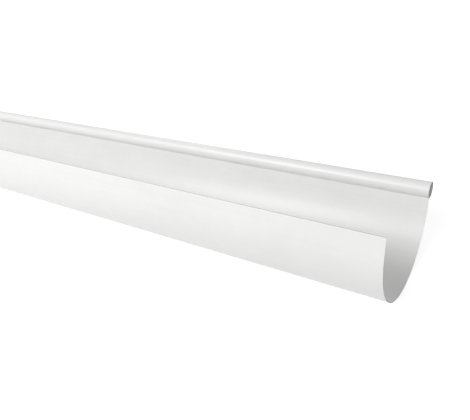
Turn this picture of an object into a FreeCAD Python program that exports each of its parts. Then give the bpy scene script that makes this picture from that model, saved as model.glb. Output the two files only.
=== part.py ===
import FreeCAD, Part
import Sketcher
import math
import os

# Half-round eaves gutter: one strip of thin sheet, bent to a trough with one plain
# upright edge and one edge rolled outward into a hollow bead.
# Millimetres, +Z up. The gutter runs along X, the rolled bead is on the +Y side.

SIZES = [
    ("gutter_length", 2000.0, "length of one piece of stock"),
    ("trough_radius", 75.0, "outside radius of the half-round trough"),
    ("sheet_thickness", 0.6, "thickness of the sheet everywhere"),
    ("plain_edge_rise", 18.0, "plain edge above the centre of the trough"),
    ("bead_radius", 9.0, "outside radius of the rolled bead"),
    ("bead_rise", 16.0, "bead centre above the centre of the trough"),
    ("bead_overhang", 3.0, "bead centre beyond the outside of the wall"),
    ("crease_radius", 1.0, "inside radius where the wall turns into the bead"),
    ("bead_seam_gap", 1.2, "wall to the end of the rolled sheet"),
]

START, END, CENTRE = 1, 2, 3          # which point of an edge a constraint uses
ORIGIN = (-1, 1)                      # the sketch's own origin point

doc = FreeCAD.newDocument("gutter_section")

sizes = doc.addObject("Spreadsheet::Sheet", "sizes")
for row, (alias, value, meaning) in enumerate(SIZES, start=1):
    sizes.set(f"A{row}", alias)
    sizes.set(f"B{row}", str(value))
    sizes.set(f"C{row}", meaning)
    sizes.setAlias(f"B{row}", alias)
doc.recompute()

gutter = doc.addObject("PartDesign::Body", "gutter")
gutter.Label = "Gutter, half-round sheet with a rolled bead"


def point(across, up):
    return FreeCAD.Vector(across, up, 0)


def line(start, end):
    return Part.LineSegment(start, end)


def arc(centre, radius, first, last):
    circle = Part.Circle(centre, FreeCAD.Vector(0, 0, 1), radius)
    return Part.ArcOfCircle(circle, first, last)


# Starting shape of the section, worked out from the sizes, so that the
# constraints only have to confirm it.
outer = sizes.trough_radius
inner = outer - sizes.sheet_thickness
plain_top = sizes.plain_edge_rise
bead_out = sizes.bead_radius
bead_in = bead_out - sizes.sheet_thickness
bead = point(outer + sizes.bead_overhang, sizes.bead_rise)
turn_in = sizes.crease_radius
turn_out = turn_in + sizes.sheet_thickness
turn_across = inner - turn_in
turn_drop = math.sqrt((bead_out + turn_in) ** 2 - (bead.x - turn_across) ** 2)
turn = point(turn_across, bead.y - turn_drop)
turn_angle = math.atan2(turn_drop, bead.x - turn.x)
seam_across = sizes.bead_overhang - sizes.bead_seam_gap
seam_angle = math.pi + math.acos(seam_across / bead_out)
bead_end = turn_angle + 3 * math.pi
seam_way = point(math.cos(seam_angle), math.sin(seam_angle))

SECTION = [
    ("plain_outside", line(point(-outer, plain_top), point(-outer, 0))),
    ("trough_outside", arc(point(0, 0), outer, math.pi, 2 * math.pi)),
    ("wall_outside", line(point(outer, 0), point(outer, turn.y))),
    ("turn_outside", arc(turn, turn_out, 0, turn_angle)),
    ("bead_inside", arc(bead, bead_in, seam_angle, bead_end)),
    ("seam_end", line(bead + seam_way * bead_in, bead + seam_way * bead_out)),
    ("bead_outside", arc(bead, bead_out, seam_angle, bead_end)),
    ("turn_inside", arc(turn, turn_in, 0, turn_angle)),
    ("wall_inside", line(point(inner, turn.y), point(inner, 0))),
    ("trough_inside", arc(point(0, 0), inner, math.pi, 2 * math.pi)),
    ("plain_inside", line(point(-inner, 0), point(-inner, plain_top))),
    ("plain_edge", line(point(-inner, plain_top), point(-outer, plain_top))),
]

section = gutter.newObject("Sketcher::SketchObject", "section")
across_plane = [f for f in gutter.Origin.OriginFeatures if f.Role == "YZ_Plane"][0]
section.AttachmentSupport = [(across_plane, "")]
section.MapMode = "FlatFace"
edge = {name: section.addGeometry(shape, False) for name, shape in SECTION}


def fix(kind, *items):
    places = [edge[item] if isinstance(item, str) else item for item in items]
    return section.addConstraint(Sketcher.Constraint(kind, *places))


def size(alias, kind, *items):
    number = fix(kind, *items, getattr(sizes, alias))
    section.renameConstraint(number, alias)
    section.setExpression(f"Constraints.{alias}", f"sizes.{alias}")


# Faces that run smoothly into one another.
SMOOTH = [
    ("plain_outside", END, "trough_outside", START),
    ("trough_outside", END, "wall_outside", START),
    ("wall_outside", END, "turn_outside", START),
    ("turn_outside", END, "bead_inside", END),
    ("bead_outside", END, "turn_inside", END),
    ("turn_inside", START, "wall_inside", START),
    ("wall_inside", END, "trough_inside", END),
    ("trough_inside", START, "plain_inside", START),
]
for joint in SMOOTH:
    fix("Tangent", *joint)

# Corners at the two cut edges of the strip.
CORNERS = [
    ("plain_inside", END, "plain_edge", START),
    ("plain_edge", END, "plain_outside", START),
    ("bead_inside", START, "seam_end", START),
    ("seam_end", END, "bead_outside", START),
]
for corner in CORNERS:
    fix("Coincident", *corner)

# Centres shared by both faces of the sheet.
fix("Coincident", "trough_outside", CENTRE, *ORIGIN)
fix("Coincident", "trough_inside", CENTRE, *ORIGIN)
fix("Coincident", "bead_inside", CENTRE, "bead_outside", CENTRE)
fix("Coincident", "turn_inside", CENTRE, "turn_outside", CENTRE)
fix("PointOnObject", "bead_outside", CENTRE, "seam_end")

for upright in ("plain_outside", "plain_inside", "wall_outside", "wall_inside"):
    fix("Vertical", upright)
fix("Horizontal", "plain_edge")

size("trough_radius", "Radius", "trough_outside")
size("sheet_thickness", "DistanceX", "plain_edge", END, "plain_edge", START)
size("plain_edge_rise", "DistanceY", *ORIGIN, "plain_edge", START)
size("bead_radius", "Radius", "bead_outside")
size("bead_rise", "DistanceY", *ORIGIN, "bead_outside", CENTRE)
size("bead_overhang", "DistanceX", "wall_outside", END, "bead_outside", CENTRE)
size("crease_radius", "Radius", "turn_inside")
size("bead_seam_gap", "DistanceX", "wall_outside", END, "bead_outside", START)

stock = gutter.newObject("PartDesign::Pad", "stock")
stock.Profile = section
stock.SideType = "Symmetric"
stock.setExpression("Length", "sizes.gutter_length")
doc.recompute()

# Left to itself the gutter rolls until its mass centre hangs below the centre of
# the trough, so it is stored turned that way, on the floor and centred.
mass_centre = gutter.Shape.CenterOfMass
lean = math.degrees(math.atan2(mass_centre.y, -mass_centre.z))
turned = FreeCAD.Rotation(FreeCAD.Vector(1, 0, 0), -lean)
gutter.Placement = FreeCAD.Placement(FreeCAD.Vector(0, 0, 0), turned)
doc.recompute()
box = gutter.Shape.optimalBoundingBox(False)
centred = FreeCAD.Vector(-box.Center.x, -box.Center.y, -box.ZMin)
gutter.Placement = FreeCAD.Placement(centred, turned)
doc.recompute()

for item in doc.Objects:
    if "Invalid" in item.State or "Error" in item.State:
        raise RuntimeError(f"{item.Label} did not rebuild: {item.State}")
if gutter.Shape.isNull() or not gutter.Shape.isValid():
    raise RuntimeError(f"{gutter.Label} has no sound shape")

os.makedirs("parts", exist_ok=True)
gutter.Shape.exportStep("parts/gutter.step")
print("leans", round(lean, 2), "degrees; loose sizes in the section:", section.solve())
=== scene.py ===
import math

import bpy
from mathutils import Matrix, Vector


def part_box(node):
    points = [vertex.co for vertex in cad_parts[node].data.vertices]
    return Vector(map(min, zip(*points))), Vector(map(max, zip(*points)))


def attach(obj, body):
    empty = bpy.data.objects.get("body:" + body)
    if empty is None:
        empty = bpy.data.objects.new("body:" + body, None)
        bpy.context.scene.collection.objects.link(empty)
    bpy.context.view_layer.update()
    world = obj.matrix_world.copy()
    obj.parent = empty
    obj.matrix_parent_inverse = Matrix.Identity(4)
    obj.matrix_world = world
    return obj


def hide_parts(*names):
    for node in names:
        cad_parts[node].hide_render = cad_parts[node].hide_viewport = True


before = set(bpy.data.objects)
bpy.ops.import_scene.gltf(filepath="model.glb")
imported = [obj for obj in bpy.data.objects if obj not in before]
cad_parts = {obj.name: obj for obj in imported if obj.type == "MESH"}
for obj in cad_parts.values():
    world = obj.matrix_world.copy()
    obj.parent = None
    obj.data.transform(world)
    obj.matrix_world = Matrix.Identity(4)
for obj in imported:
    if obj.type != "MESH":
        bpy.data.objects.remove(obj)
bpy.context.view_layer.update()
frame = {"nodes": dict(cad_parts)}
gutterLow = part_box("gutter")[0]
mm = 0.001
print("frame loaded, nodes:", ", ".join(frame["nodes"]))


def feed(tree, inlet, value):
    # another node's output is wired in, a plain value is written in
    if isinstance(value, bpy.types.NodeSocket):
        tree.links.new(value, inlet)
    else:
        inlet.default_value = value


def addNode(tree, kind, settings=None, **values):
    made = tree.nodes.new(kind)
    for name, value in (settings or {}).items():
        setattr(made, name, value)
    for name, value in values.items():
        feed(tree, made.inputs[name.replace("_", " ")], value)
    return made


def formula(tree, operation, *terms):
    maths = addNode(tree, "ShaderNodeMath", {"operation": operation})
    for inlet, term in zip(maths.inputs, terms):
        feed(tree, inlet, term)
    return maths.outputs[0]


def addMaterial(name):
    material = bpy.data.materials.new(name)
    material.use_nodes = True
    material.node_tree.nodes.clear()
    surface = addNode(material.node_tree, "ShaderNodeOutputMaterial").inputs["Surface"]
    return material, material.node_tree, surface


def addNoise(tree, place, scale, **texture):
    return addNode(tree, "ShaderNodeTexNoise", Vector=place, Scale=scale, **texture).outputs[0]


def addRamp(tree, value, positions, shadedColours):
    ramp = addNode(tree, "ShaderNodeValToRGB", Fac=value)
    for stop, position, colour in zip(ramp.color_ramp.elements, positions, shadedColours):
        stop.position = position
        stop.color = (*colour, 1)
    return ramp.outputs["Color"]


coatedSheet = {
    "colour": (0.88, 0.878, 0.874),    # white coil coating
    "colourDrift": (0.965, 1.025),     # times the colour, in the darkest and lightest spots
    "driftSpan": (0.3, 0.7),           # values of the noise that give those two
    "roughness": 0.36,
    "roughnessDrift": 0.04,            # either way
    "cloudiness": 16.0,                # patches of slightly uneven white, per metre
    "cloudShare": 0.7,                 # of the colour's drift
    "rollLines": 260.0,                # faint lines from the forming rolls, per metre
    "rollShare": 0.3,
    "rollStretch": 0.02,               # how little the lines change along the gutter
    "rollStrength": 0.03,
    "rollHeight": 0.4 * mm,
    "orangePeel": 700.0,               # dimples of the coating, per metre
    "peelStrength": 0.05,
    "peelHeight": 0.2 * mm,
}


def makeCoating(look):
    material, tree, surface = addMaterial("coatedSheet")
    place = addNode(tree, "ShaderNodeTexCoord").outputs["Object"]
    along = addNode(tree, "ShaderNodeMapping", Vector=place, Scale=(look["rollStretch"], 1, 1))
    streaks = addNoise(tree, along.outputs["Vector"], look["rollLines"], Detail=3.0)
    clouds = addNoise(tree, place, look["cloudiness"], Detail=5.0, Roughness=0.7)
    peel = addNoise(tree, place, look["orangePeel"], Detail=1.0)

    uneven = formula(tree, "ADD", formula(tree, "MULTIPLY", clouds, look["cloudShare"]),
                     formula(tree, "MULTIPLY", streaks, look["rollShare"]))
    tints = [[part * share for part in look["colour"]] for share in look["colourDrift"]]
    gloss = addNode(tree, "ShaderNodeMapRange", Value=clouds,
                    To_Min=look["roughness"] - look["roughnessDrift"],
                    To_Max=look["roughness"] + look["roughnessDrift"])
    rolled = addNode(tree, "ShaderNodeBump", Height=streaks,
                     Strength=look["rollStrength"], Distance=look["rollHeight"])
    dimpled = addNode(tree, "ShaderNodeBump", Height=peel, Normal=rolled.outputs["Normal"],
                      Strength=look["peelStrength"], Distance=look["peelHeight"])
    coat = addNode(tree, "ShaderNodeBsdfPrincipled",
                   Base_Color=addRamp(tree, uneven, look["driftSpan"], tints),
                   Roughness=gloss.outputs["Result"], Normal=dimpled.outputs["Normal"])
    feed(tree, surface, coat.outputs["BSDF"])
    return material


# bare steel of the cut edges; its grey is darkened with painted shade so the thin edges read
# as dark lines
cutSteelWithShade = {
    "shadedColours": ((0.10, 0.10, 0.105), (0.26, 0.26, 0.26)),    # darkest and lightest, both darkened past the bare steel's grey by painted shade
    "metallic": 0.7,
    "roughness": 0.5,
    "burrs": 900.0,                    # per metre
    "burrStrength": 0.2,
    "burrHeight": 0.1 * mm,
}


def makeShadedCutEdge(look):
    material, tree, surface = addMaterial("cutEdgeWithShade")
    place = addNode(tree, "ShaderNodeTexCoord").outputs["Object"]
    burr = addNoise(tree, place, look["burrs"], Detail=4.0)
    rough = addNode(tree, "ShaderNodeBump", Height=burr,
                    Strength=look["burrStrength"], Distance=look["burrHeight"])
    metal = addNode(tree, "ShaderNodeBsdfPrincipled",
                    # these greys are the steel's own colour plus painted shade along the cut
                    # edges
                    Base_Color=addRamp(tree, burr, (0, 1), look["shadedColours"]),
                    Metallic=look["metallic"], Roughness=look["roughness"],
                    Normal=rough.outputs["Normal"])
    feed(tree, surface, metal.outputs["BSDF"])
    return material


coating = makeCoating(coatedSheet)
cutEdgeWithShade = makeShadedCutEdge(cutSteelWithShade)
print("finishes made")

# the gutter: the strip's section, drawn out along X
gutter = {
    "length": 2000 * mm,
    "troughRadius": 75 * mm,           # outside of the half-round
    "sheet": 0.6 * mm,
    "plainRise": 18 * mm,              # plain edge above the trough's centre
    "beadRadius": 9 * mm,
    "beadRise": 16 * mm,
    "beadOverhang": 3 * mm,            # bead centre beyond the wall's outside
    "creaseRadius": 1 * mm,
    "seamGap": 1.2 * mm,
    "lean": math.radians(18.4729),     # how far it rolls over when laid down
}
curveSteps = {"trough": 144, "turn": 10, "bead": 96}
weldReach = 0.01 * mm
sharpAngle = math.radians(40)          # sharper corners stay sharp: only the cut edges


def addVector(tree, **axes):
    return addNode(tree, "ShaderNodeCombineXYZ", **axes).outputs[0]


def chainOf(tree, curve):
    return addNode(tree, "GeometryNodeCurveToMesh", Curve=curve).outputs[0]


def sectionArc(tree, steps, radius, start, sweep, across, up):
    arc = addNode(tree, "GeometryNodeCurveArc", {"mode": "RADIUS"}, Resolution=steps + 1,
                  Radius=radius, Start_Angle=start, Sweep_Angle=sweep)
    placed = addNode(tree, "GeometryNodeTransform", Geometry=arc.outputs["Curve"],
                     Translation=addVector(tree, X=across, Y=up))
    return chainOf(tree, placed.outputs[0])


def sectionLine(tree, start, end):
    corners = [addVector(tree, X=across, Y=up) for across, up in (start, end)]
    line = addNode(tree, "GeometryNodeCurvePrimitiveLine", Start=corners[0], End=corners[1])
    return chainOf(tree, line.outputs["Curve"])


def weld(tree, parts):
    joined = addNode(tree, "GeometryNodeJoinGeometry")
    for part in parts:
        feed(tree, joined.inputs[0], part)
    return addNode(tree, "GeometryNodeMergeByDistance", Geometry=joined.outputs[0],
                   Distance=weldReach).outputs[0]


def outerFace(tree, given):
    # the strip's outer face in section, from the plain edge round to the bead's seam
    def calc(*terms):
        return formula(tree, *terms)

    radius = given["troughRadius"]
    plainAcross = calc("MULTIPLY", radius, -1)
    beadInside = calc("SUBTRACT", given["beadRadius"], given["sheet"])
    beadAcross = calc("ADD", radius, given["beadOverhang"])
    turnRadius = calc("ADD", given["creaseRadius"], given["sheet"])
    turnAcross = calc("SUBTRACT", radius, turnRadius)

    # the crease and the bead touch, so their radii give the height of the crease
    reach = calc("ADD", given["beadRadius"], given["creaseRadius"])
    aside = calc("SUBTRACT", beadAcross, turnAcross)
    drop = calc("SQRT", calc("SUBTRACT", calc("POWER", reach, 2), calc("POWER", aside, 2)))
    turnUp = calc("SUBTRACT", given["beadRise"], drop)
    turnAngle = calc("ARCTAN2", drop, aside)

    # the bead runs from the crease round to its gap before the wall
    seamAside = calc("SUBTRACT", given["beadOverhang"], given["seamGap"])
    seamSlope = calc("ARCCOSINE", calc("DIVIDE", seamAside, given["beadRadius"]))
    beadStart = calc("ADD", turnAngle, 3 * math.pi)
    beadSweep = calc("SUBTRACT", calc("ADD", seamSlope, math.pi), beadStart)
    return [
        sectionLine(tree, (plainAcross, given["plainRise"]), (plainAcross, 0)),
        sectionArc(tree, curveSteps["trough"], radius, math.pi, math.pi, 0, 0),
        sectionLine(tree, (radius, 0), (radius, turnUp)),
        sectionArc(tree, curveSteps["turn"], turnRadius, 0, turnAngle, turnAcross, turnUp),
        sectionArc(tree, curveSteps["bead"], beadInside, beadStart, beadSweep,
                   beadAcross, given["beadRise"]),
    ]


def buildGutterTree(sizes):
    tree = bpy.data.node_groups.new("rolledGutter", "GeometryNodeTree")
    sockets = tree.interface
    sockets.new_socket("Geometry", in_out="OUTPUT", socket_type="NodeSocketGeometry")
    for name in (*sizes, "centreAcross"):
        sockets.new_socket(name, in_out="INPUT", socket_type="NodeSocketFloat")
    given = tree.nodes.new("NodeGroupInput").outputs

    # stand the section up in the YZ plane, at the left end
    leftEnd = formula(tree, "MULTIPLY", given["length"], -0.5)
    stood = addNode(tree, "GeometryNodeTransform",
                    Geometry=weld(tree, reversed(outerFace(tree, given))),
                    Rotation=(math.pi / 2, 0, math.pi / 2),
                    Translation=addVector(tree, X=leftEnd))

    # draw it out to the length, then give the strip its thickness
    drawn = addNode(tree, "GeometryNodeExtrudeMesh", {"mode": "EDGES"}, Mesh=stood.outputs[0],
                    Offset=addVector(tree, X=given["length"])).outputs["Mesh"]
    thick = addNode(tree, "GeometryNodeExtrudeMesh", {"mode": "FACES"}, Mesh=drawn,
                    Offset_Scale=given["sheet"], Individual=False)
    flipped = addNode(tree, "GeometryNodeFlipFaces", Mesh=drawn)
    closed = weld(tree, (flipped.outputs[0], thick.outputs["Mesh"]))

    # roll it over to where it comes to rest
    turn = formula(tree, "MULTIPLY", given["lean"], -1)
    rolled = addNode(tree, "GeometryNodeTransform", Geometry=closed,
                     Rotation=addVector(tree, X=turn),
                     Translation=addVector(tree, Y=given["centreAcross"],
                                           Z=given["troughRadius"]))

    # coating all over, bare metal with painted shade where the sheet was cut
    real = addNode(tree, "GeometryNodeRealizeInstances", Geometry=rolled.outputs[0])
    coated = addNode(tree, "GeometryNodeSetMaterial", Geometry=real.outputs[0],
                     Material=coating)
    cut = addNode(tree, "GeometryNodeSetMaterial", Geometry=coated.outputs[0],
                  Selection=thick.outputs["Side"], Material=cutEdgeWithShade)
    addNode(tree, "NodeGroupOutput", Geometry=cut.outputs[0])
    return tree


def buildGutter(sizes):
    tree = buildGutterTree(sizes)
    seed = bpy.data.objects.new("gutterSeed", bpy.data.meshes.new("gutterSeed"))
    bpy.context.scene.collection.objects.link(seed)
    modifier = seed.modifiers.new("rolledGutter", "NODES")
    modifier.node_group = tree
    values = dict(sizes, centreAcross=gutterLow.y + sizes["troughRadius"])
    for item in tree.interface.items_tree:
        if item.in_out == "INPUT":
            modifier[item.identifier] = values[item.name]
    bpy.context.view_layer.update()
    ready = seed.evaluated_get(bpy.context.evaluated_depsgraph_get())
    mesh = bpy.data.meshes.new_from_object(ready)
    mesh.name = "rolledGutter"
    bpy.data.objects.remove(seed)
    while None in mesh.materials[:]:
        mesh.materials.pop(index=mesh.materials[:].index(None))
    mesh.shade_smooth()
    mesh.set_sharp_from_angle(angle=sharpAngle)
    piece = bpy.data.objects.new("rolledGutter", mesh)
    bpy.context.scene.collection.objects.link(piece)
    return piece


rolledGutter = buildGutter(gutter)
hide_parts("gutter")
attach(rolledGutter, "root")
print("gutter drawn out:", len(rolledGutter.data.polygons), "faces")

studio = {
    "floorSize": 30.0,
    "floorColour": 0.7,
    "floorLift": (0.68, 0.73),         # keeps the floor white: at the gutter, and far off
    "liftReach": (1.5, 4.5),           # metres from the middle between the two
    "skyLight": 0.39,
    "aim": (0.75, 0, 0.07),            # what the panels face: the gutter's right half
    # degrees round from the front, degrees up, distance, width, height, watts
    "keyPanel": (-40, 44, 3.0, 1.4, 1.0, 32),
    "frontPanel": (-20, 40, 3.0, 1.4, 1.0, 18),
    "lowPanel": (0, 22, 3.0, 1.4, 1.0, 9),
    "backPanel": (-140, 20, 3.0, 1.0, 1.0, 8),
}


def seenDirectly(tree):
    path = addNode(tree, "ShaderNodeLightPath").outputs
    seen = formula(tree, "MAXIMUM", path["Is Camera Ray"], path["Is Glossy Ray"])
    return formula(tree, "MAXIMUM", seen, path["Is Transmission Ray"])


def layFloor(look):
    half = look["floorSize"] / 2
    mesh = bpy.data.meshes.new("floor")
    mesh.from_pydata([(-half, -half, 0), (half, -half, 0), (half, half, 0), (-half, half, 0)],
                     [], [(0, 1, 2, 3)])
    floor = bpy.data.objects.new("floor", mesh)
    bpy.context.scene.collection.objects.link(floor)

    material, tree, surface = addMaterial("paleFloor")
    paint = addNode(tree, "ShaderNodeBsdfDiffuse", Color=(*[look["floorColour"]] * 3, 1))
    away = addNode(tree, "ShaderNodeVectorMath", {"operation": "LENGTH"})
    feed(tree, away.inputs[0], addNode(tree, "ShaderNodeTexCoord").outputs["Object"])
    (near, far), (low, high) = look["liftReach"], look["floorLift"]
    rise = addNode(tree, "ShaderNodeMapRange", Value=away.outputs["Value"],
                   From_Min=near, From_Max=far, To_Min=low, To_Max=high)
    strength = formula(tree, "MULTIPLY", seenDirectly(tree), rise.outputs["Result"])
    lift = addNode(tree, "ShaderNodeEmission", Strength=strength)
    both = addNode(tree, "ShaderNodeAddShader")
    for inlet, layer in zip(both.inputs, (paint, lift)):
        feed(tree, inlet, layer.outputs[0])
    feed(tree, surface, both.outputs[0])
    mesh.materials.append(material)


def lightSky(look):
    world = bpy.data.worlds.new("studio")
    bpy.context.scene.world = world
    world.use_nodes = True
    tree = world.node_tree
    sky = tree.nodes["Background"]
    sky.inputs["Color"].default_value = (1, 1, 1, 1)
    toWhite = formula(tree, "MULTIPLY", seenDirectly(tree), 1 - look["skyLight"])
    feed(tree, sky.inputs["Strength"], formula(tree, "ADD", look["skyLight"], toWhite))


def hangPanel(look, name):
    around, up, distance, width, height, watts = look[name]
    lamp = bpy.data.lights.new(name, "AREA")
    lamp.shape = "RECTANGLE"
    lamp.size, lamp.size_y = width, height
    lamp.energy = watts
    panel = bpy.data.objects.new(name, lamp)
    towards = (Matrix.Rotation(math.radians(around), 3, "Z")
               @ Matrix.Rotation(math.radians(-up), 3, "X") @ Vector((0, -1, 0)))
    panel.location = Vector(look["aim"]) + towards * distance
    panel.rotation_euler = towards.to_track_quat("Z", "Y").to_euler()
    bpy.context.scene.collection.objects.link(panel)


layFloor(studio)
lightSky(studio)
for name in ("keyPanel", "frontPanel", "lowPanel", "backPanel"):
    hangPanel(studio, name)
print("studio set")

view = {
    "lens": 38.27,
    "sensor": 36,
    "clip": (0.01, 100),
    "place": (103.5, -463.5, 193.4),   # from the trough's centre at the right end, in mm
    "yaw": 33.36,                      # degrees left of +Y
    "pitch": 21.45,                    # degrees down
    "roll": 0.15,
}


def placeCamera(look, sizes):
    # worked out beside the level section, then rolled over with it
    yaw, pitch, roll = (math.radians(look[angle]) for angle in ("yaw", "pitch", "roll"))
    level = (Matrix.Translation(Vector(look["place"]) * mm)
             @ Matrix.Rotation(yaw, 4, "Z")
             @ Matrix.Rotation(math.pi / 2 - pitch, 4, "X")
             @ Matrix.Rotation(-roll, 4, "Z"))
    rightEnd = Vector((sizes["length"] / 2, gutterLow.y + sizes["troughRadius"],
                       sizes["troughRadius"]))
    lens = bpy.data.cameras.new("camera")
    lens.lens = look["lens"]
    lens.sensor_width = look["sensor"]
    lens.clip_start, lens.clip_end = look["clip"]
    camera = bpy.data.objects.new("camera", lens)
    camera.matrix_world = (Matrix.Translation(rightEnd)
                           @ Matrix.Rotation(-sizes["lean"], 4, "X") @ level)
    bpy.context.scene.collection.objects.link(camera)
    bpy.context.scene.camera = camera


placeCamera(view, gutter)
bpy.context.scene.view_settings.view_transform = "Standard"
print("camera set")
